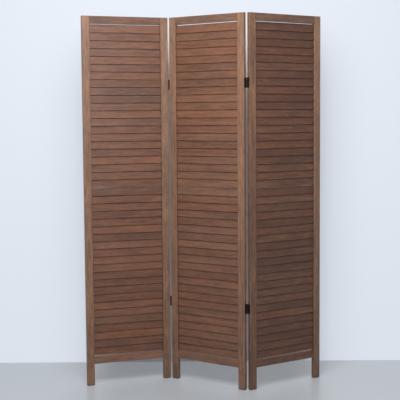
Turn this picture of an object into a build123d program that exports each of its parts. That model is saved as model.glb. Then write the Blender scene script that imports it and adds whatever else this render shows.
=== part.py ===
"""Louvered folding screen: three slatted wooden panels in a zigzag, joined by two pairs of butt hinges.

Millimetres, +Z up, front facing -Y. The origin is on the floor, below the middle of the whole screen.
Each panel is made in its own frame: X runs along the panel from its left edge, Y from its front face
to its back face, and Z up from the floor. The middle panel carries the other two on its hinges.
"""

from build123d import *
from math import cos, radians, sin
import os

# Panel frame
panel_height = 1700.0
panel_width = 406.0
panel_thickness = 18.0
stile_width = 35.0
rail_height = 35.0
foot_height = 101.0
edge_radius = 1.2
foot_chamfer = 2.5

# Slats, which lean back at the top and lap over the slat below
slat_thickness = 5.0
slat_tilt = 11.0
slat_overlap = 2.4
slat_spacing = 35.2
slat_edge_radius = 0.8
slat_tongue = 5.0
gap_over_bottom_rail = 6.0
gap_between_groups = 4.0
gap_under_top_rail = 3.0
slot_clearance = 0.15

# Dowels between the rails and the stiles
dowel_diameter = 6.0
dowel_length = 32.0
dowel_spacing = 17.0
dowel_clearance = 0.05
dowel_end_clearance = 0.5

# Hinges, with their leaves screwed flat on the panels' edges
hinge_heights = {"lower": 373.0, "upper": 1392.0}
hinge_length = 45.0
barrel_diameter = 5.0
pin_diameter = 2.6
pin_clearance = 0.05
pin_head_diameter = 4.0
pin_head_height = 0.8
pin_standoff = 2.0
knuckle_count = 5
knuckle_gap = 0.2
knuckle_clearance = 0.3
leaf_thickness = 1.2
leaf_margin = 2.5
leaf_corner_radius = 2.0

# Countersunk hinge screws
screw_end_distance = 5.5
screw_length = 16.0
screw_diameter = 2.8
screw_head_diameter = 5.6
screw_tip_length = 4.0
screw_clearance = 0.05
screw_end_clearance = 0.5
recess_width = 0.7
recess_span = 3.0
recess_depth = 0.6

# How the screen stands: the turn of the middle panel, and each joint's fold away from a straight line
middle_turn = -34.2
left_fold = 53.6
right_fold = 67.4

# Slat layout between the rails
opening_width = panel_width - 2 * stile_width
opening_bottom = foot_height + rail_height
opening_top = panel_height - rail_height
slatted_height = (opening_top - opening_bottom - gap_over_bottom_rail - gap_between_groups
                  - gap_under_top_rail - slat_overlap)
slat_count = round(slatted_height / slat_spacing)
slat_pitch = slatted_height / slat_count
upper_count = slat_count // 2
lower_count = slat_count - upper_count
slat_rise = slat_pitch + slat_overlap
slat_width = (slat_rise - slat_thickness * sin(radians(slat_tilt))) / cos(radians(slat_tilt))
slat_lean = Rot(-slat_tilt, 0, 0)
lower_start = opening_bottom + gap_over_bottom_rail
upper_start = lower_start + lower_count * slat_pitch + gap_between_groups

# Hinge layout, measured from the pin's axis
barrel_radius = barrel_diameter / 2
leaf_reach = pin_standoff + panel_thickness - leaf_margin
screw_line = pin_standoff + (panel_thickness - leaf_margin) / 2
screw_rise = hinge_length / 2 - screw_end_distance
knuckle_length = hinge_length / knuckle_count


def box_between(low, high):
    """A box from its lowest corner to its highest."""
    size = [b - a for a, b in zip(low, high)]
    return Pos(*low) * Box(*size, align=(Align.MIN, Align.MIN, Align.MIN))


def rod_along_x(start, length, radius):
    """A cylinder from a point, along X; a negative length runs it the other way."""
    turn = 90 if length > 0 else -90
    rod = Cylinder(radius, abs(length), align=(Align.CENTER, Align.CENTER, Align.MIN))
    return Pos(*start) * Rot(0, turn, 0) * rod


def slat_levels(start, count):
    """The height of the middle of each slat of one group."""
    return [start + slat_rise / 2 + index * slat_pitch for index in range(count)]


def slat_group(start, count):
    """Slats that run from one stile to the other, with a tongue in each."""
    length = opening_width + 2 * slat_tongue
    blank = Box(length, slat_thickness, slat_width)
    blank = fillet(blank.edges().filter_by(Axis.X), slat_edge_radius)
    middle = panel_width / 2, panel_thickness / 2
    return [Pos(*middle, level) * slat_lean * blank for level in slat_levels(start, count)]


def slat_slots(inner_x):
    """The slots that a stile holds its slats' tongues in, astride its inner face."""
    slot = Box(2 * (slat_tongue + slot_clearance), slat_thickness + 2 * slot_clearance,
               slat_width + 2 * slot_clearance)
    levels = slat_levels(lower_start, lower_count) + slat_levels(upper_start, upper_count)
    return [Pos(inner_x, panel_thickness / 2, level) * slat_lean * slot for level in levels]


def dowel_points(inner_x):
    """The middles of the dowels across one stile's inner face."""
    rail_middles = opening_bottom - rail_height / 2, opening_top + rail_height / 2
    return [(inner_x, panel_thickness / 2, middle + side * dowel_spacing / 2)
            for middle in rail_middles for side in (-1, 1)]


def dowel_rods(inner_x, radius, length):
    """Rods centred on the dowels' places across one stile's inner face."""
    return [rod_along_x((x - length / 2, y, z), length, radius) for x, y, z in dowel_points(inner_x)]


def dowel_holes(inner_x):
    return dowel_rods(inner_x, dowel_diameter / 2 + dowel_clearance, dowel_length + 2 * dowel_end_clearance)


def screw_heights():
    return [middle + side * screw_rise for middle in hinge_heights.values() for side in (-1, 1)]


def screw_holes(edge_x, inward, barrel_side):
    """Pilot holes in a stile's outer edge, on the middle line of the leaves."""
    from_front = screw_line - pin_standoff
    y = from_front if barrel_side == "front" else panel_thickness - from_front
    depth = inward * (screw_length - leaf_thickness + screw_end_clearance)
    radius = screw_diameter / 2 + screw_clearance
    return [rod_along_x((edge_x, y, z), depth, radius) for z in screw_heights()]


def stile(side, barrel_side=None):
    """An upright that runs down into a foot; barrel_side says where its hinges' barrels are."""
    left = side == "left"
    outer_x, inner_x = (0, stile_width) if left else (panel_width, panel_width - stile_width)
    low, high = min(outer_x, inner_x), max(outer_x, inner_x)
    blank = box_between((low, 0, 0), (high, panel_thickness, panel_height))
    blank = chamfer(blank.faces().sort_by(Axis.Z)[0].edges(), foot_chamfer)
    rising = blank.edges().filter_by(lambda edge: abs(edge.tangent_at(0.5).Z) > 0.1)
    blank = fillet(rising, edge_radius)
    cuts = slat_slots(inner_x) + dowel_holes(inner_x)
    if barrel_side:
        cuts += screw_holes(outer_x, 1 if left else -1, barrel_side)
    return [blank - cuts]


def rail(bottom):
    """A cross rail, square at its ends, with holes for its dowels."""
    blank = box_between((stile_width, 0, bottom),
                        (panel_width - stile_width, panel_thickness, bottom + rail_height))
    blank = fillet(blank.edges().filter_by(Axis.X), edge_radius)
    return [blank - dowel_holes(stile_width) - dowel_holes(panel_width - stile_width)]


def panel(left_barrels=None, right_barrels=None):
    """The wooden pieces of one panel, each as a list of solids."""
    dowels = [rod for inner_x in (stile_width, panel_width - stile_width)
              for rod in dowel_rods(inner_x, dowel_diameter / 2, dowel_length)]
    return {
        "left_stile": stile("left", left_barrels),
        "right_stile": stile("right", right_barrels),
        "top_rail": rail(opening_top),
        "bottom_rail": rail(foot_height),
        "upper_slats": slat_group(upper_start, upper_count),
        "lower_slats": slat_group(lower_start, lower_count),
        "rail_dowels": dowels,
    }


def knuckle_span(index):
    """Where one knuckle of the barrel starts and ends."""
    start = -hinge_length / 2 + index * knuckle_length
    return start + knuckle_gap / 2, start + knuckle_length - knuckle_gap / 2


def upright_cylinder(radius, low, high):
    return Pos(0, 0, low) * Cylinder(radius, high - low, align=(Align.CENTER, Align.CENTER, Align.MIN))


def countersunk_screw(clearance=0.0, end_clearance=0.0):
    """A screw along +X with its head flush at X = 0, or the room that it needs."""
    shank = screw_diameter / 2 + clearance
    head = screw_head_diameter / 2 + clearance
    end = screw_length + end_clearance
    outline = Polyline((0, 0), (0, head), (leaf_thickness, shank), (end - screw_tip_length, shank),
                       (end, 0), close=True)
    return revolve(make_face(outline), Axis.X)


def screw():
    recess_bars = [Box(2 * recess_depth, recess_width, recess_span),
                   Box(2 * recess_depth, recess_span, recess_width)]
    return countersunk_screw() - recess_bars


def leaf(own_knuckles):
    """A hinge leaf on the +X side of the pin: its plate lies on the panel's edge, at X = barrel radius."""
    plate = box_between((barrel_radius - leaf_thickness, 0, -hinge_length / 2),
                        (barrel_radius, leaf_reach, hinge_length / 2))
    free_corners = plate.edges().filter_by(Axis.X).group_by(Axis.Y)[-1]
    plate = fillet(free_corners, leaf_corner_radius)
    others = [index for index in range(knuckle_count) if index not in own_knuckles]
    notches = [upright_cylinder(barrel_radius + knuckle_clearance,
                                -hinge_length / 2 + index * knuckle_length - knuckle_gap / 2,
                                -hinge_length / 2 + (index + 1) * knuckle_length + knuckle_gap / 2)
               for index in others]
    knuckles = [upright_cylinder(barrel_radius, *knuckle_span(index)) for index in own_knuckles]
    bore = upright_cylinder(pin_diameter / 2 + pin_clearance, -hinge_length, hinge_length)
    seats = [Pos(barrel_radius - leaf_thickness, screw_line, side * screw_rise)
             * countersunk_screw(screw_clearance) for side in (-1, 1)]
    return plate - notches + knuckles - bore - seats


def pin():
    """A pin with a low button head at each end of the barrel."""
    half = hinge_length / 2
    shaft = upright_cylinder(pin_diameter / 2, -half, half)
    heads = [upright_cylinder(pin_head_diameter / 2, half, half + pin_head_height),
             upright_cylinder(pin_head_diameter / 2, -half - pin_head_height, -half)]
    return shaft + heads


def leaf_screws():
    """The two screws of a leaf on the +X side of the pin."""
    return [Pos(barrel_radius - leaf_thickness, screw_line, side * screw_rise) * screw()
            for side in (-1, 1)]


fixed_knuckles = [index for index in range(knuckle_count) if index % 2 == 0]
moving_knuckles = [index for index in range(knuckle_count) if index % 2 == 1]
fixed_leaf = leaf(fixed_knuckles)
moving_leaf = mirror(leaf(moving_knuckles), Plane.YZ)
fixed_screws = leaf_screws()
moving_screws = [mirror(each, Plane.YZ) for each in leaf_screws()]
hinge_pin = pin()

# Places in the middle panel's frame. The left pins stand before the front face, the right ones behind
# the back face, so the left joint folds to the front and the right joint to the back.
left_pin = Pos(-barrel_radius, -pin_standoff, 0)
right_pin = Pos(panel_width + barrel_radius, panel_thickness + pin_standoff, 0)
left_place = left_pin * Rot(0, 0, left_fold) * left_pin.inverse() * Pos(-barrel_diameter - panel_width, 0, 0)
right_place = right_pin * Rot(0, 0, right_fold) * right_pin.inverse() * Pos(panel_width + barrel_diameter, 0, 0)

nodes = {}


def add(name, solids, place):
    nodes[name] = [place * solid for solid in solids]


panels = {
    "left_panel": (panel(right_barrels="front"), left_place),
    "middle_panel": (panel(left_barrels="front", right_barrels="back"), Pos(0, 0, 0)),
    "right_panel": (panel(left_barrels="back"), right_place),
}
for panel_name, (pieces, place) in panels.items():
    for piece_name, solids in pieces.items():
        add(f"{panel_name}_{piece_name}", solids, place)

# At the right joint the whole hinge is turned half round, so its leaves run to the front
joints = {"left": (left_pin, Rot(0, 0, 0), left_fold), "right": (right_pin, Rot(0, 0, 180), right_fold)}
for joint, (pin_place, turn, fold) in joints.items():
    still = {level: pin_place * Pos(0, 0, z) * turn for level, z in hinge_heights.items()}
    swung = {level: pin_place * Rot(0, 0, fold) * Pos(0, 0, z) * turn for level, z in hinge_heights.items()}
    for level in hinge_heights:
        add(f"{joint}_joint_{level}_hinge_middle_leaf", [fixed_leaf], still[level])
        add(f"{joint}_joint_{level}_hinge_outer_leaf", [moving_leaf], swung[level])
        add(f"{joint}_joint_{level}_hinge_pin", [hinge_pin], still[level])
    nodes[f"middle_panel_{joint}_hinge_screws"] = [
        place * each for place in still.values() for each in fixed_screws]
    nodes[f"{joint}_panel_hinge_screws"] = [
        place * each for place in swung.values() for each in moving_screws]

# Turn the screen to its stance and stand it over the origin
turned = Rot(0, 0, middle_turn)
stance = Compound([turned * solid for solids in nodes.values() for solid in solids]).bounding_box()
place_on_floor = Pos(-stance.center().X, -stance.center().Y, -stance.min.Z) * turned

os.makedirs("parts", exist_ok=True)
for name, solids in nodes.items():
    placed = [place_on_floor * solid for solid in solids]
    export_step(placed[0] if len(placed) == 1 else Compound(placed), f"parts/{name}.step")

for joint, (pin_place, turn, fold) in joints.items():
    print(joint, "pin at", (place_on_floor * pin_place).position)
print("slats per panel", slat_count, "pitch", round(slat_pitch, 3), "width", round(slat_width, 2))
print("screen size", stance.size)
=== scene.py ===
"""Looks of a louvered folding screen: stained wooden panels, dark hinges, a pale studio and a camera.

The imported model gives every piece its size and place. The frames, dowels and hinges keep their shapes
and get their finish here. The slats are laid out anew by geometry nodes, each a little different from
the next, as sawn and stained slats are. Metres, +Z up, the front faces -Y.
"""
from math import cos, pi, radians, sin

import bpy
from bpy.props import FloatProperty, FloatVectorProperty, IntProperty, PointerProperty
from bpy.types import Operator, Panel, PropertyGroup
from mathutils import Matrix, Vector


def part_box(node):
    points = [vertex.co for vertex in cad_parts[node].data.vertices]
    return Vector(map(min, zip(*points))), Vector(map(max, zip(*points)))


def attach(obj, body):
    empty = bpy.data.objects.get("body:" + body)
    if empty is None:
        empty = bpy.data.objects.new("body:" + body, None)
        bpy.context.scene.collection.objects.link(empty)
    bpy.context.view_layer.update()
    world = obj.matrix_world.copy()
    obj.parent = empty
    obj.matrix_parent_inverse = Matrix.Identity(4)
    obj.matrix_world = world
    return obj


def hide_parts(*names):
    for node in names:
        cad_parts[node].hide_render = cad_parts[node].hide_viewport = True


bl_info = {
    "name": "Louvered Folding Screen",
    "version": (1, 0, 0),
    "blender": (4, 5, 0),
    "location": "View3D > Sidebar > Folding Screen",
    "description": "Finishes a folding screen of slatted wooden panels and sets its studio",
    "category": "Object",
}

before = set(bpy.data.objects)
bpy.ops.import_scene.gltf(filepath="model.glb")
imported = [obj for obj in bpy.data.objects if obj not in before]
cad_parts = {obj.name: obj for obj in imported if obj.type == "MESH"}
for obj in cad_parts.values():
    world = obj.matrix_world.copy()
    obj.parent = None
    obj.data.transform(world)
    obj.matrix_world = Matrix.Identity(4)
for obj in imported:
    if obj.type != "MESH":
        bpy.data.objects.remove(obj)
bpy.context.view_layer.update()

UP = Vector((0, 0, 1))
PANELS = ("left_panel", "middle_panel", "right_panel")
MM = 0.001

# What the slats' mesh carries for their finish
# The slats' tone is partly painted shade, through each panel's tone.
TONE_AND_SHADE = "slat_tone"
HUE = "slat_hue"
GRAIN = "slat_grain"


def display(red, green, blue):
    """A colour as a screen shows it, 0 to 255, as the linear colour that a shader takes."""
    shares = [value / 255 for value in (red, green, blue)]
    return tuple(s / 12.92 if s <= 0.04045 else ((s + 0.055) / 1.055) ** 2.4 for s in shares)


def size_of(name, description, value):
    return FloatProperty(name=name, description=description, default=value, unit="LENGTH", precision=4)


def angle_of(name, description, degrees):
    return FloatProperty(name=name, description=description, default=radians(degrees), subtype="ANGLE")


def colour_of(name, description, value):
    return FloatVectorProperty(name=name, description=description, default=value, subtype="COLOR",
                               min=0, max=1)


def share_of(name, description, value):
    return FloatProperty(name=name, description=description, default=value, min=0, max=1, subtype="FACTOR")


class SlatSettings(PropertyGroup):
    pitch: size_of("Pitch", "From one slat to the next", 35.2 * MM)
    overlap: size_of("Overlap", "How far a slat laps over the one below", 2.4 * MM)
    thickness: size_of("Thickness", "Thickness of a slat", 5 * MM)
    edge_radius: size_of("Edge radius", "Rounding of a slat's long edges", 1.3 * MM)
    tilt: angle_of("Tilt", "How far a slat leans back at its top", 9)
    tilt_spread: angle_of("Tilt spread", "Most that one slat's lean differs from the others'", 1.0)
    skew_spread: angle_of("Skew spread", "Most that one slat slopes along its length", 0.13)
    lift_spread: size_of("Lift spread", "Most that one slat sits high or low", 0.35 * MM)
    top_lift: FloatVectorProperty(
        name="Top lift", description="How much higher each panel's top slat sits, from the left panel on",
        default=(0.8 * MM, 0.2 * MM, 0.9 * MM), unit="LENGTH", precision=4)
    bottom_drop: size_of("Bottom drop", "How much lower a panel's lowest slat sits", 2.6 * MM)
    # Panel tone is partly stain and partly painted shade for how light falls on each panel.
    panel_tone_and_shade: FloatVectorProperty(
        name="Panel tone", description="How light each panel's slats are stained, from the left panel on",
        default=(-1.15, 0.6, -2.45))
    panel_hue: FloatVectorProperty(
        name="Panel hue", description="How red each panel's slats are stained, from the left panel on",
        default=(1.6, -0.3, 0.4))
    stain_spread: FloatProperty(
        name="Stain spread", description="Most that one slat's tone or hue differs from the others'",
        default=1.2)
    seed: IntProperty(name="Seed", description="Picks how the slats differ", default=4)


class WoodSettings(PropertyGroup):
    slat: colour_of("Slats", "Stain on the slats", display(107, 70, 49))
    rail: colour_of("Rails", "Stain on the rails", display(113, 81, 63))
    stile: colour_of("Stiles", "Stain on the stiles", display(126, 94, 73))
    # The pore colour also paints shade into the slats' ends and the stiles' feet, and a dark joint at the
    # rails' ends.
    pore_and_painted_shade: colour_of("Pores", "Stain that has gathered in the pores", display(52, 33, 24))
    # The rubbed edge colour is partly rubbed stain and partly a painted highlight on the lit edges.
    rubbed: colour_of("Rubbed edge", "Wood where the stain is rubbed thin", display(150, 106, 78))
    ring_spacing: size_of("Ring spacing", "Width of a growth ring", 5.5 * MM)
    roughness: share_of("Roughness", "Roughness of the satin varnish", 0.5)


class HardwareSettings(PropertyGroup):
    bronze: colour_of("Bronze", "Dark finish of the hinges", display(60, 51, 45))
    worn: colour_of("Worn metal", "Where the finish is rubbed", display(128, 112, 98))
    roughness: share_of("Roughness", "Roughness of the dark finish", 0.42)
    dowel: colour_of("Dowel", "Plain wood of the hidden dowels", display(200, 168, 126))


class StageSettings(PropertyGroup):
    floor: colour_of("Floor", "Colour of the floor", display(188, 193, 198))
    wall: colour_of("Backdrop", "Colour of the backdrop", display(235, 242, 252))
    glow: share_of("Backdrop glow", "How much of the backdrop's look stays the same in any light", 0.65)
    floor_glow: share_of("Floor glow", "How much of the floor's look stays the same in any light", 0.25)
    wall_distance: size_of("Backdrop distance", "From the screen's middle to the backdrop", 0.42)
    key_watts: FloatProperty(name="Key light", description="Power of the light overhead", default=54,
                             unit="POWER")
    fill: FloatProperty(name="Fill", description="Strength of the light from all round", default=0.24)
    lens: FloatProperty(name="Lens", description="Focal length", default=89.1, unit="CAMERA")
    eye: FloatVectorProperty(name="Camera place", description="Where the camera stands", subtype="XYZ",
                             unit="LENGTH", default=(-0.0153, -4.5358, 1.2449))
    pitch: angle_of("Camera pitch", "How far the camera looks down", 4.842)
    roll: angle_of("Camera roll", "How far the camera leans", -0.418)


class ScreenSettings(PropertyGroup):
    slats: PointerProperty(type=SlatSettings)
    wood: PointerProperty(type=WoodSettings)
    hardware: PointerProperty(type=HardwareSettings)
    stage: PointerProperty(type=StageSettings)


class Value:
    """A number that a node gives; Python's operators on it add Math nodes."""

    def __init__(self, graph, socket):
        self.graph = graph
        self.socket = socket

    def math(self, operation, *terms):
        made = self.graph.node("ShaderNodeMath", {"operation": operation}, dict(enumerate(terms)))
        return Value(self.graph, made.outputs[0])

    def __add__(self, other):
        return self.math("ADD", self, other)

    def __radd__(self, other):
        return self.math("ADD", other, self)

    def __sub__(self, other):
        return self.math("SUBTRACT", self, other)

    def __rsub__(self, other):
        return self.math("SUBTRACT", other, self)

    def __mul__(self, other):
        return self.math("MULTIPLY", self, other)

    def __rmul__(self, other):
        return self.math("MULTIPLY", other, self)

    def __truediv__(self, other):
        return self.math("DIVIDE", self, other)

    def __neg__(self):
        return self * -1

    def __abs__(self):
        return self.math("ABSOLUTE", self)

    def __lt__(self, other):
        return self.math("LESS_THAN", self, other)

    def __gt__(self, other):
        return self.math("GREATER_THAN", self, other)

    def root(self):
        return self.math("SQRT", self)

    def fraction(self):
        return self.math("FRACT", self)

    def at_least(self, other):
        """This number or the other one, whichever is larger."""
        return self.math("MAXIMUM", self, other)

    def is_about(self, other):
        """1 where two whole numbers are the same."""
        return self.math("COMPARE", self, other, 0.5)

    def sway(self, weight):
        """How far a noise is from its middle, times a weight."""
        return (self - 0.5) * weight

    def ramp(self, low, high):
        """0 below low, 1 above high, and a smooth rise between them; low may be the larger one."""
        made = self.graph.node("ShaderNodeMapRange", {"interpolation_type": "SMOOTHSTEP"},
                               {"Value": self, "From Min": low, "From Max": high})
        return Value(self.graph, made.outputs["Result"])


class Graph:
    """A node tree that gets its nodes and links from plain calls."""

    def __init__(self, tree):
        self.tree = tree

    def node(self, kind, settings=None, inputs=None):
        """One node: its settings first, then each socket's value or link."""
        made = self.tree.nodes.new(kind)
        for name, value in (settings or {}).items():
            setattr(made, name, value)
        self.feed(made, inputs or {})
        return made

    def feed(self, made, inputs):
        """Sets or links sockets of a node that is there already."""
        for key, value in inputs.items():
            if isinstance(value, Value):
                value = value.socket
            if isinstance(value, bpy.types.NodeSocket):
                self.tree.links.new(value, made.inputs[key])
            else:
                made.inputs[key].default_value = value

    def show(self, surface, output="Material Output"):
        """Makes a shader the one that the material or the world has."""
        self.feed(self.tree.nodes[output], {"Surface": surface})

    def value(self, kind, settings=None, inputs=None, output=0):
        return Value(self, self.node(kind, settings, inputs).outputs[output])

    def split(self, vector):
        parts = self.node("ShaderNodeSeparateXYZ", None, {0: vector})
        return [Value(self, part) for part in parts.outputs]

    def join(self, x, y, z):
        return self.node("ShaderNodeCombineXYZ", None, {0: x, 1: y, 2: z}).outputs[0]

    def vector(self, operation, *terms):
        return self.node("ShaderNodeVectorMath", {"operation": operation},
                         dict(enumerate(terms))).outputs[0]

    def place(self):
        """Where a point of the piece is, in metres."""
        return self.node("ShaderNodeTexCoord").outputs["Object"]

    def noise(self, vector, per_metre, detail, roughness=0.5):
        """Noise from 0 to 1 about 0.5, with its own number of cells a metre along each axis."""
        stretched = self.vector("MULTIPLY", vector, per_metre)
        return self.value("ShaderNodeTexNoise", None, {
            "Vector": stretched, "Scale": 1.0, "Detail": detail, "Roughness": roughness})

    def mix(self, share, first, second):
        """From the first colour to the second as share goes from 0 to 1."""
        return self.node("ShaderNodeMix", {"data_type": "RGBA"}, {
            0: share, 6: solid_colour(first), 7: solid_colour(second)}).outputs[2]

    def bump(self, height, strength, depth):
        return self.node("ShaderNodeBump", None, {
            "Strength": strength, "Distance": depth, "Height": height}).outputs[0]


def solid_colour(colour):
    """Three channels as a socket's opaque colour; a link stays a link."""
    return colour if isinstance(colour, bpy.types.NodeSocket) else (*colour, 1)


def scaled(colour, shares):
    return tuple(channel * share for channel, share in zip(colour, shares))


def new_material(name):
    """A material, its graph and its Principled node."""
    material = bpy.data.materials.new(name)
    material.use_nodes = True
    return material, Graph(material.node_tree), material.node_tree.nodes["Principled BSDF"]


# A stain's colour at its darkest and its palest, and its casts from grey to red, as shares of each channel
DARKEST = (0.52, 0.48, 0.46)
PALEST = (1.55, 1.6, 1.62)
GREY_CAST = (0.91, 1.01, 1.14)
RED_CAST = (1.09, 0.97, 0.86)

# How far below a piece's middle the heart of its log lies, and how far the rings stray from a circle
LOG_DEPTH = 0.045
RING_STRAY = 0.05
RING_WOBBLE = 1.6


def stain(graph, shader, wood, body, grain, tone, hue, edge, corner):
    """Stained wood. Grain gives a place in the piece, with x along its fibres; tone is darker below 0 and
    lighter above it, and hue greyer below 0 and redder above it; edge is 1 on the piece's long edges, which
    are drawn lighter, partly rubbed stain and partly a painted highlight, and corner is 1 where the wood is
    drawn darker: a dark joint at a rail's ends, end grain with painted contact shade at a stile's foot, and
    painted shade at a slat's ends."""

    def layer(along, across, detail, roughness=0.5, apart=None):
        """Noise with so many cells a metre along and across the fibres, set apart from other layers."""
        spot = graph.vector("ADD", grain, apart) if apart else grain
        return graph.noise(spot, (along, across, across), detail, roughness)

    _, across, depth = graph.split(grain)
    ring_across = across + layer(1.3, 7, detail=2).sway(RING_STRAY)
    ring_depth = depth + LOG_DEPTH + layer(0.9, 5, detail=2, apart=(3.1, 7.7, 1.9)).sway(RING_STRAY)
    radius = (ring_across * ring_across + ring_depth * ring_depth).root()
    ring = (radius / wood.ring_spacing + layer(4, 90, detail=3) * RING_WOBBLE).fraction()
    late = ring.ramp(0.35, 0.86) * ring.ramp(1.0, 0.9)

    blotch = layer(8, 30, detail=3, apart=(9.2, 0.4, 5.5))
    band = layer(5, 85, detail=2, apart=(4.4, 6.1, 8.8))
    fleck = layer(32, 170, detail=2, apart=(2.6, 5.3, 7.1))
    streak = layer(8, 300, detail=4, roughness=0.6)
    fibre = layer(22, 1300, detail=3, roughness=0.6)
    pores = layer(38, 1500, detail=2, apart=(1.7, 2.9, 4.3)).ramp(0.6, 0.7)
    rub_and_highlight = edge * layer(14, 160, detail=3).ramp(0.36, 0.6)

    shade = (0.5 + blotch.sway(0.65) + band.sway(0.5) + fleck.sway(1.0) + streak.sway(1.1) + fibre.sway(0.35)
             - late * 0.12 + tone * 0.14)
    colour = graph.mix(shade, scaled(body, DARKEST), scaled(body, PALEST))
    cast = graph.mix(0.5 + hue * 0.27 + blotch.sway(0.5), GREY_CAST, RED_CAST)
    colour = graph.vector("MULTIPLY", colour, cast)
    # Lighter long edges: rubbed stain and a painted highlight.
    colour = graph.mix(rub_and_highlight * 0.4, colour, wood.rubbed)
    colour = graph.mix(pores * 0.3, colour, wood.pore_and_painted_shade)
    # Darker corners and ends: a dark joint at rail ends, end grain with painted contact shade at a stile's
    # foot, painted shade at slat ends.
    colour = graph.mix(corner * 0.6, colour, wood.pore_and_painted_shade)

    height = fibre.sway(0.5) + streak.sway(0.6) - pores * 0.8 - late * 0.25
    graph.feed(shader, {
        "Base Color": colour,
        "Roughness": wood.roughness + streak.sway(0.25) + pores * 0.18 - edge * 0.05,
        "Normal": graph.bump(height, strength=0.5, depth=0.2 * MM),
    })


class PieceFrame:
    """A piece's box along its own axes, with x along its fibres, and how they are turned."""

    def __init__(self, node, axes):
        spans = [[corner.co.dot(axis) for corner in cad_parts[node].data.vertices] for axis in axes]
        self.low = [min(span) for span in spans]
        self.high = [max(span) for span in spans]
        self.half = [(b - a) / 2 for a, b in zip(self.low, self.high)]
        middles = [(a + b) / 2 for a, b in zip(self.low, self.high)]
        self.middle = sum((axis * place for axis, place in zip(axes, middles)), Vector())
        self.turn = Matrix(axes).transposed().to_euler()


def panel_axes(panel):
    """Along a panel from its left stile to its right one, up, and out of its front face."""
    left, right = [sum(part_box(f"{panel}_{side}_stile"), Vector()) / 2 for side in ("left", "right")]
    along = (right - left).normalized()
    return along, UP, along.cross(UP)


# How far from an edge or an end a finish starts to change, and where it has changed in full
# The lighter edges are rubbed stain with a painted highlight.
FRAME_RUB_AND_HIGHLIGHT = (3 * MM, 0.4 * MM)
SLAT_RUB_AND_HIGHLIGHT = (2.5 * MM, 0.3 * MM)
# The darker foot is end grain soaking stain with painted contact shade.
FOOT_SOAK_AND_SHADE = (8 * MM, 1 * MM)
RAIL_SEAM = (2.5 * MM, 0.5 * MM)
# The darker slat ends are painted shade where the slats meet the stiles.
SLAT_END_SHADE = (10 * MM, 6 * MM)

# How far apart in the log the grain of slats of different tone lies
GRAIN_STEPS = (31, 0.03, 17)


def frame_wood(node, panel, wood, upright, shift, tone, painted_falloff, hue):
    """The finish of a stile or a rail, with its grain along the piece. The argument after the tone is how
    much lighter than its middle its far end is drawn: painted light, a falloff along the piece."""
    right, up, front = panel_axes(panel)
    piece = PieceFrame(node, (up, right, -front) if upright else (right, up, front))
    material, graph, shader = new_material(f"stained_{node}")
    local = graph.node("ShaderNodeMapping", {"vector_type": "TEXTURE"}, {
        "Vector": graph.place(), "Location": piece.middle, "Rotation": piece.turn}).outputs[0]
    along, across, depth = graph.split(local)
    half_length, half_width, half_depth = piece.half
    # Lighter long edges: rubbed stain and a painted highlight.
    edge = (half_width - abs(across) + half_depth - abs(depth)).ramp(*FRAME_RUB_AND_HIGHLIGHT)
    if upright:
        body = wood.stile
        # Darker near the foot: end grain soaking stain and painted contact shade.
        corner = (along + half_length).ramp(*FOOT_SOAK_AND_SHADE)
    else:
        body = wood.rail
        corner = (half_length - abs(along)).ramp(*RAIL_SEAM)
    # Tone plus a painted light falloff from one end of the piece to the other.
    tone_and_painted_falloff = tone + along * (painted_falloff / half_length)
    stain(graph, shader, wood, body, graph.vector("ADD", local, shift), tone_and_painted_falloff, hue, edge, corner)
    return material


def slat_wood(wood, slats, half_length):
    """The finish of the slats, each with its own grain and tone."""
    material, graph, shader = new_material("stained_slats")
    place = graph.node("ShaderNodeAttribute", {"attribute_name": GRAIN}).outputs["Vector"]
    tone, hue = [graph.value("ShaderNodeAttribute", {"attribute_name": name}, output="Fac")
                 for name in (TONE_AND_SHADE, HUE)]
    along, across, _ = graph.split(place)
    # Darker slat ends: painted shade where the slats meet the stiles.
    corner = (half_length - abs(along)).ramp(*SLAT_END_SHADE)
    # Lighter long edges: rubbed stain and a painted highlight.
    edge = (slat_width(slats) / 2 - abs(across)).ramp(*SLAT_RUB_AND_HIGHLIGHT)
    shift = graph.join(*[tone * step for step in GRAIN_STEPS])
    stain(graph, shader, wood, wood.slat, graph.vector("ADD", place, shift), tone, hue, edge, corner)
    return material


def hinge_metal(hardware):
    """Dark bronze, rubbed a little and faintly uneven."""
    material, graph, shader = new_material("dark_bronze")
    place = graph.place()
    cloud = graph.noise(place, (90, 90, 90), detail=4)
    grit = graph.noise(place, (1800, 1800, 1800), detail=2)
    scuff = graph.noise(place, (700, 700, 160), detail=4, roughness=0.65).ramp(0.6, 0.72)
    graph.feed(shader, {
        "Base Color": graph.mix(scuff * 0.5, hardware.bronze, hardware.worn),
        "Metallic": 0.75,
        "Roughness": hardware.roughness + cloud.sway(0.3) - scuff * 0.08,
        "Normal": graph.bump(grit, strength=0.35, depth=0.08 * MM),
    })
    return material


def dowel_wood(hardware):
    """Plain wood with faint fibres."""
    material, graph, shader = new_material("plain_dowel")
    fibre = graph.noise(graph.place(), (300, 300, 900), detail=4)
    dark = scaled(hardware.dowel, (0.6, 0.6, 0.6))
    graph.feed(shader, {
        "Base Color": graph.mix(fibre.ramp(0.45, 0.75), hardware.dowel, dark),
        "Roughness": 0.6 + fibre.sway(0.2),
    })
    return material


def assign(node, material):
    """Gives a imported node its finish."""
    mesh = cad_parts[node].data
    mesh.materials.clear()
    mesh.materials.append(material)


def slat_rise(slats):
    """How tall a leaning slat stands."""
    return slats.pitch + slats.overlap


def slat_width(slats):
    return (slat_rise(slats) - slats.thickness * sin(slats.tilt)) / cos(slats.tilt)


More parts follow.
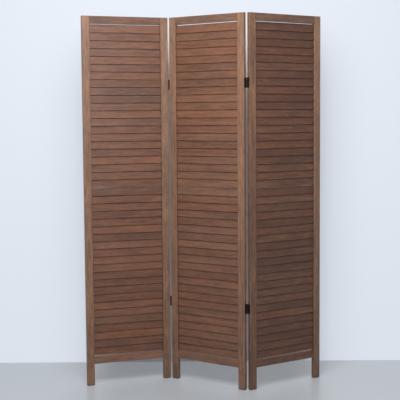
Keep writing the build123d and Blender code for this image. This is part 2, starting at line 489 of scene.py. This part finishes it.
SLAT_INPUTS = {
    "Length": "NodeSocketFloat",
    "Width": "NodeSocketFloat",
    "Thickness": "NodeSocketFloat",
    "Edge Radius": "NodeSocketFloat",
    "Pitch": "NodeSocketFloat",
    "Lower Start": "NodeSocketFloat",
    "Lower Count": "NodeSocketInt",
    "Upper Start": "NodeSocketFloat",
    "Upper Count": "NodeSocketInt",
    "Tilt": "NodeSocketFloat",
    "Tilt Spread": "NodeSocketFloat",
    "Skew Spread": "NodeSocketFloat",
    "Lift Spread": "NodeSocketFloat",
    "Top Lift": "NodeSocketFloat",
    "Bottom Drop": "NodeSocketFloat",
    "Tone": "NodeSocketFloat",
    "Hue": "NodeSocketFloat",
    "Stain Spread": "NodeSocketFloat",
    "Seed": "NodeSocketInt",
    "Middle": "NodeSocketVector",
    "Heading": "NodeSocketFloat",
    "Finish": "NodeSocketMaterial",
}

# Facets across a slat's rounded edge, slats that share the drop at the bottom, and seeds between panels
EDGE_FACETS = 3
DROPPED_SLATS = 3
SEEDS_APART = 10


def one_slat(graph, given):
    """A slat that lies along x, with its rounded edges smooth and its grain on its points."""
    section = graph.node("GeometryNodeCurvePrimitiveQuadrilateral", None, {
        "Width": given["Thickness"], "Height": given["Width"]})
    section = graph.node("GeometryNodeFilletCurve", {"mode": "POLY"}, {
        "Curve": section.outputs[0], "Radius": given["Edge Radius"], "Count": EDGE_FACETS})
    half = given["Length"] / 2
    run = graph.node("GeometryNodeCurvePrimitiveLine", None, {
        "Start": graph.join(-half, 0, 0), "End": graph.join(half, 0, 0)})
    slat = graph.node("GeometryNodeCurveToMesh", None, {
        "Curve": run.outputs[0], "Profile Curve": section.outputs[0], "Fill Caps": True})

    area = graph.value("GeometryNodeInputMeshFaceArea")
    half_edge = given["Length"] * given["Thickness"] * 0.5
    end_cap = given["Thickness"] * given["Width"]
    slat = graph.node("GeometryNodeSetShadeSmooth", None, {
        0: slat.outputs[0], 2: (area < half_edge) * (area > end_cap)})
    x, y, z = graph.split(graph.node("GeometryNodeInputPosition").outputs[0])
    return graph.node("GeometryNodeStoreNamedAttribute", {"data_type": "FLOAT_VECTOR", "domain": "POINT"}, {
        0: slat.outputs[0], "Name": GRAIN, "Value": graph.join(x, z, -y)}).outputs[0]


def turned(graph, x, y, z):
    """A rotation by these angles."""
    return graph.node("FunctionNodeEulerToRotation", None, {0: graph.join(x, y, z)}).outputs[0]


def slat_bank():
    """The node tree that lays a panel's two groups of slats, and its inputs' identifiers."""
    tree = bpy.data.node_groups.new("slat_bank", "GeometryNodeTree")
    tree.interface.new_socket(name="Slats", in_out="OUTPUT", socket_type="NodeSocketGeometry")
    identifiers = {name: tree.interface.new_socket(name=name, in_out="INPUT", socket_type=kind).identifier
                   for name, kind in SLAT_INPUTS.items()}
    graph = Graph(tree)
    given = {socket.name: Value(graph, socket) for socket in graph.node("NodeGroupInput").outputs
             if socket.name}

    def spread(name, seed_step):
        """A number for each slat, evenly spread between the input's value either way."""
        most = given[name]
        return graph.value("FunctionNodeRandomValue", {"data_type": "FLOAT"},
                           {2: -most, 3: most, "Seed": given["Seed"] + seed_step}, output=1)

    step = graph.join(0, 0, given["Pitch"])
    levels = graph.node("GeometryNodeJoinGeometry")
    # The group that is joined last comes first, so the slats count up from the lowest one
    for group in ("Upper", "Lower"):
        line = graph.node("GeometryNodeMeshLine", {"mode": "OFFSET"}, {
            "Count": given[f"{group} Count"], "Start Location": graph.join(0, 0, given[f"{group} Start"]),
            "Offset": step})
        tree.links.new(line.outputs[0], levels.inputs[0])
    index = graph.value("GeometryNodeInputIndex")
    highest = index.is_about(given["Lower Count"] + given["Upper Count"] - 1)
    lowest_few = (1 - index / DROPPED_SLATS).at_least(0)
    lift = spread("Lift Spread", 1) + highest * given["Top Lift"] - lowest_few * given["Bottom Drop"]
    placed = graph.node("GeometryNodeSetPosition", None, {
        0: levels.outputs[0], "Offset": graph.join(0, 0, lift)})
    lean = turned(graph, spread("Tilt Spread", 2) - given["Tilt"], spread("Skew Spread", 3), 0)
    slats = graph.node("GeometryNodeInstanceOnPoints", None, {
        "Points": placed.outputs[0], "Instance": one_slat(graph, given), "Rotation": lean})
    # Each slat's tone carries its panel's tone, which is partly painted shade, and a random spread.
    stains = {
        TONE_AND_SHADE: given["Tone"] + spread("Stain Spread", 4),
        HUE: given["Hue"] + spread("Stain Spread", 5),
    }
    for name, value in stains.items():
        slats = graph.node("GeometryNodeStoreNamedAttribute", {"data_type": "FLOAT", "domain": "INSTANCE"}, {
            0: slats.outputs[0], "Name": name, "Value": value})
    slats = graph.node("GeometryNodeRealizeInstances", None, {0: slats.outputs[0]})
    slats = graph.node("GeometryNodeTransform", None, {
        "Geometry": slats.outputs[0], "Translation": given["Middle"],
        "Rotation": turned(graph, 0, 0, given["Heading"])})
    slats = graph.node("GeometryNodeSetMaterial", None, {
        "Geometry": slats.outputs[0], "Material": given["Finish"]})
    graph.node("NodeGroupOutput", None, {0: slats.outputs[0]})
    return tree, identifiers


def add_object(name, data):
    """A new object in the scene."""
    made = bpy.data.objects.new(name, data)
    bpy.context.scene.collection.objects.link(made)
    return made


def grown_mesh(name, tree, identifiers, values):
    """What a tree makes of these inputs, as a plain mesh object without a modifier."""
    seedling = add_object(f"{name}_grown", bpy.data.meshes.new(f"{name}_empty"))
    modifier = seedling.modifiers.new("slats", "NODES")
    modifier.node_group = tree
    for title, value in values.items():
        modifier[identifiers[title]] = value
    depsgraph = bpy.context.evaluated_depsgraph_get()
    mesh = bpy.data.meshes.new_from_object(seedling.evaluated_get(depsgraph), depsgraph=depsgraph)
    bpy.data.objects.remove(seedling)
    mesh.name = name
    return add_object(name, mesh)


def add_panel_slats(number, panel, slats, tree, identifiers, finish):
    """Both groups of slats of one panel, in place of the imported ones."""
    along, up, front = panel_axes(panel)
    lower, upper = [PieceFrame(f"{panel}_{group}_slats", (along, front, up)) for group in ("lower", "upper")]
    rise = slat_rise(slats)

    def count(group):
        return round((group.high[2] - group.low[2] - rise) / slats.pitch) + 1

    piece = grown_mesh(f"{panel}_slats", tree, identifiers, {
        "Length": lower.half[0] * 2,
        "Width": slat_width(slats),
        "Thickness": slats.thickness,
        "Edge Radius": slats.edge_radius,
        "Pitch": slats.pitch,
        "Lower Start": lower.low[2] + rise / 2,
        "Lower Count": count(lower),
        "Upper Start": upper.low[2] + rise / 2,
        "Upper Count": count(upper),
        "Tilt": slats.tilt,
        "Tilt Spread": slats.tilt_spread,
        "Skew Spread": slats.skew_spread,
        "Lift Spread": slats.lift_spread,
        "Top Lift": slats.top_lift[number],
        "Bottom Drop": slats.bottom_drop,
        "Tone": slats.panel_tone_and_shade[number],
        "Hue": slats.panel_hue[number],
        "Stain Spread": slats.stain_spread,
        "Seed": slats.seed + SEEDS_APART * number,
        "Middle": Vector((lower.middle.x, lower.middle.y, 0)),
        "Heading": along.to_2d().angle_signed(Vector((1, 0))),
        "Finish": finish,
    })
    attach(piece, panel)
    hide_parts(f"{panel}_lower_slats", f"{panel}_upper_slats")


class SCREEN_OT_slats(Operator):
    """Lay the slats of every panel"""
    bl_idname = "folding_screen.slats"
    bl_label = "Slats"

    def execute(self, context):
        settings = context.scene.folding_screen
        tree, identifiers = slat_bank()
        half_length = PieceFrame(f"{PANELS[0]}_lower_slats", panel_axes(PANELS[0])).half[0]
        finish = slat_wood(settings.wood, settings.slats, half_length)
        for number, panel in enumerate(PANELS):
            add_panel_slats(number, panel, settings.slats, tree, identifiers, finish)
        return {"FINISHED"}


# Each piece's tone, partly stain and partly painted shade for how light falls on it; how much lighter its
# right or upper end is drawn, a painted light falloff; and its hue
FRAME_STAINS_AND_PAINTED_LIGHT = {
    "left_panel_left_stile": (0.0, 0.0, 0.35),
    "left_panel_right_stile": (0.0, 0.5, 0.0),
    "left_panel_top_rail": (-1.7, 0.0, 1.0),
    "left_panel_bottom_rail": (1.4, -0.5, 0.5),
    "middle_panel_left_stile": (0.1, 1.2, 0.3),
    "middle_panel_right_stile": (0.2, 0.5, 0.5),
    "middle_panel_top_rail": (0.0, 0.0, -0.8),
    "middle_panel_bottom_rail": (0.9, -0.3, 0.3),
    "right_panel_left_stile": (-1.8, 1.1, 0.6),
    "right_panel_right_stile": (0.5, 1.8, -0.4),
    "right_panel_top_rail": (-1.0, 0.0, -0.9),
    "right_panel_bottom_rail": (-1.7, 0.0, 0.8),
}


def place_in_log(number):
    """Where in the log a piece of the frames is cut, so that no two pieces share their grain."""
    return Vector((number * 3.7, 0.011 * (number % 5 - 2), number * 1.9))


class SCREEN_OT_frames(Operator):
    """Stain the stiles and rails, each with its own grain"""
    bl_idname = "folding_screen.frames"
    bl_label = "Frames"

    def execute(self, context):
        wood = context.scene.folding_screen.wood
        for number, (node, (tone, painted_falloff, hue)) in enumerate(FRAME_STAINS_AND_PAINTED_LIGHT.items()):
            panel = next(panel for panel in PANELS if node.startswith(panel))
            upright = node.endswith("stile")
            assign(node, frame_wood(node, panel, wood, upright, place_in_log(number), tone, painted_falloff, hue))
        return {"FINISHED"}


class SCREEN_OT_hardware(Operator):
    """Finish the hinges, their pins and screws, and the dowels"""
    bl_idname = "folding_screen.hardware"
    bl_label = "Hardware"

    def execute(self, context):
        hardware = context.scene.folding_screen.hardware
        metal = hinge_metal(hardware)
        wood = dowel_wood(hardware)
        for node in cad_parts:
            if node.endswith("_dowels"):
                assign(node, wood)
            elif "hinge" in node:
                assign(node, metal)
        return {"FINISHED"}


# The floor's reach either way, and the backdrop's reach to the sides and its height
FLOOR_REACH = 40
WALL_REACH = 6
WALL_HEIGHT = 5

# Where the backdrop's painted shadow behind the screen's resting place fades out, to its sides and over it,
# and the glow left inside that painted shadow
PAINTED_SHADOW_SIDE = (0.42, 0.66)
PAINTED_SHADOW_TOP = (1.45, 1.75)
GLOW_IN_PAINTED_SHADOW = 0.08

# The light behind the screen, as a share of the one overhead
REAR_SHARE = 0.7


def stage_sheet(name, corners, finish):
    """A flat sheet of the studio, which isn't part of the screen."""
    mesh = bpy.data.meshes.new(name)
    mesh.from_pydata(corners, [], [(0, 1, 2, 3)])
    mesh.materials.append(finish)
    add_object(name, mesh)


def seen_directly(graph):
    """1 where the camera, a reflection or clear glass shows a surface, and 0 where it lights others."""
    rays = graph.node("ShaderNodeLightPath").outputs
    return Value(graph, rays["Is Camera Ray"]).at_least(rays["Is Glossy Ray"]).at_least(
        rays["Is Transmission Ray"])


def shown_surface(graph, shader, colour, share):
    """The lit surface, mixed where it is seen directly with its plain colour."""
    plain = graph.node("ShaderNodeEmission", None, {"Color": solid_colour(colour), "Strength": 1.0})
    return graph.node("ShaderNodeMixShader", None, {
        0: seen_directly(graph) * share, 1: shader.outputs[0], 2: plain.outputs[0]}).outputs[0]


def floor_finish(stage):
    """A smooth pale floor with a soft shine."""
    material, graph, shader = new_material("pale_floor")
    cloud = graph.noise(graph.place(), (3, 3, 3), detail=3)
    graph.feed(shader, {"Base Color": solid_colour(stage.floor), "Roughness": 0.24 + cloud.sway(0.08)})
    graph.show(shown_surface(graph, shader, stage.floor, stage.floor_glow))
    return material


def backdrop_finish(stage):
    """A matt pale wall that glows faintly beside and over the screen and glows less behind the screen's
    resting place, a painted shadow that stays put when the panels fold; its matt part takes the lamps'
    shadows. It only stands in front of what faces it: from behind it lets all through, and it lets the lamps
    through both ways."""
    material, graph, shader = new_material("pale_backdrop")
    matt = scaled(stage.wall, (0.9, 0.9, 0.9))
    graph.feed(shader, {"Base Color": solid_colour(matt), "Roughness": 0.9})
    across, _, height = graph.split(graph.place())
    # Painted shadow: the glow drops to a small share behind where the screen stands at rest.
    outside_painted_shadow = abs(across).ramp(*PAINTED_SHADOW_SIDE).at_least(height.ramp(*PAINTED_SHADOW_TOP))
    share = stage.glow * (GLOW_IN_PAINTED_SHADOW + (1 - GLOW_IN_PAINTED_SHADOW) * outside_painted_shadow)
    surface = shown_surface(graph, shader, stage.wall, share)
    behind = graph.value("ShaderNodeNewGeometry", output="Backfacing")
    lamp = graph.node("ShaderNodeLightPath").outputs["Is Shadow Ray"]
    clear = graph.node("ShaderNodeBsdfTransparent")
    both = graph.node("ShaderNodeMixShader", None, {
        0: behind.at_least(lamp), 1: surface, 2: clear.outputs[0]})
    graph.show(both.outputs[0])
    return material


def area_light(name, place, target, size, watts):
    """A round lamp at a place, turned to its target."""
    light = bpy.data.lights.new(name, "AREA")
    light.shape = "DISK"
    light.size = size
    light.energy = watts
    lamp = add_object(name, light)
    lamp.location = place
    lamp.rotation_euler = (Vector(target) - Vector(place)).to_track_quat("-Z", "Y").to_euler()


def set_world(scene, stage):
    """Soft light from all round, and the backdrop's colour where the world itself is seen."""
    world = bpy.data.worlds.new("studio")
    world.use_nodes = True
    scene.world = world
    graph = Graph(world.node_tree)
    ambient = world.node_tree.nodes["Background"]
    graph.feed(ambient, {"Color": solid_colour((1, 1, 1)), "Strength": stage.fill})
    shown = graph.node("ShaderNodeBackground", None, {"Color": solid_colour(stage.wall), "Strength": 1.0})
    both = graph.node("ShaderNodeMixShader", None, {
        0: seen_directly(graph), 1: ambient.outputs[0], 2: shown.outputs[0]})
    graph.show(both.outputs[0], "World Output")


def set_camera(scene, stage):
    lens = bpy.data.cameras.new("camera")
    lens.lens = stage.lens
    camera = add_object("camera", lens)
    camera.location = stage.eye
    level = Matrix.Rotation(pi / 2 - stage.pitch, 4, "X")
    camera.rotation_euler = (level @ Matrix.Rotation(stage.roll, 4, "Z")).to_euler()
    scene.camera = camera


class SCREEN_OT_stage(Operator):
    """Set the floor, the backdrop, the lights and the camera"""
    bl_idname = "folding_screen.stage"
    bl_label = "Studio"

    def execute(self, context):
        scene = context.scene
        stage = scene.folding_screen.stage
        ends = (-FLOOR_REACH, FLOOR_REACH)
        near, far = [[(x, y, 0) for x in ends] for y in ends]
        stage_sheet("floor", near + far[::-1], floor_finish(stage))
        sides = (-WALL_REACH, WALL_REACH)
        low, high = [[(x, stage.wall_distance, z) for x in sides] for z in (0, WALL_HEIGHT)]
        stage_sheet("backdrop", low + high[::-1], backdrop_finish(stage))

        area_light("overhead", place=(-0.2, -1.7, 2.3), target=(0, 0, 0.85), size=1.6,
                   watts=stage.key_watts)
        area_light("behind", place=(0.9, 3.2, 2.4), target=(0, 0, 0.8), size=2.4,
                   watts=stage.key_watts * REAR_SHARE)
        set_world(scene, stage)
        set_camera(scene, stage)
        scene.view_settings.view_transform = "Standard"
        return {"FINISHED"}


OPERATORS = (SCREEN_OT_slats, SCREEN_OT_frames, SCREEN_OT_hardware, SCREEN_OT_stage)


class SCREEN_PT_panel(Panel):
    """Lists the screen's settings and what builds it"""
    bl_idname = "SCREEN_PT_panel"
    bl_label = "Folding Screen"
    bl_space_type = "VIEW_3D"
    bl_region_type = "UI"
    bl_category = "Folding Screen"

    def draw(self, context):
        settings = context.scene.folding_screen
        for group_name in ("slats", "wood", "hardware", "stage"):
            box = self.layout.box()
            box.label(text=group_name.capitalize())
            group = getattr(settings, group_name)
            for name in group.__annotations__:
                box.prop(group, name)
        for operator in OPERATORS:
            self.layout.operator(operator.bl_idname)


CLASSES = (SlatSettings, WoodSettings, HardwareSettings, StageSettings, ScreenSettings, *OPERATORS,
           SCREEN_PT_panel)


def register():
    for each in CLASSES:
        bpy.utils.register_class(each)
    bpy.types.Scene.folding_screen = PointerProperty(type=ScreenSettings)


def unregister():
    del bpy.types.Scene.folding_screen
    for each in reversed(CLASSES):
        bpy.utils.unregister_class(each)


def main():
    register()
    bpy.ops.folding_screen.slats()
    bpy.ops.folding_screen.frames()
    bpy.ops.folding_screen.hardware()
    bpy.ops.folding_screen.stage()


if __name__ == "__main__":
    main()
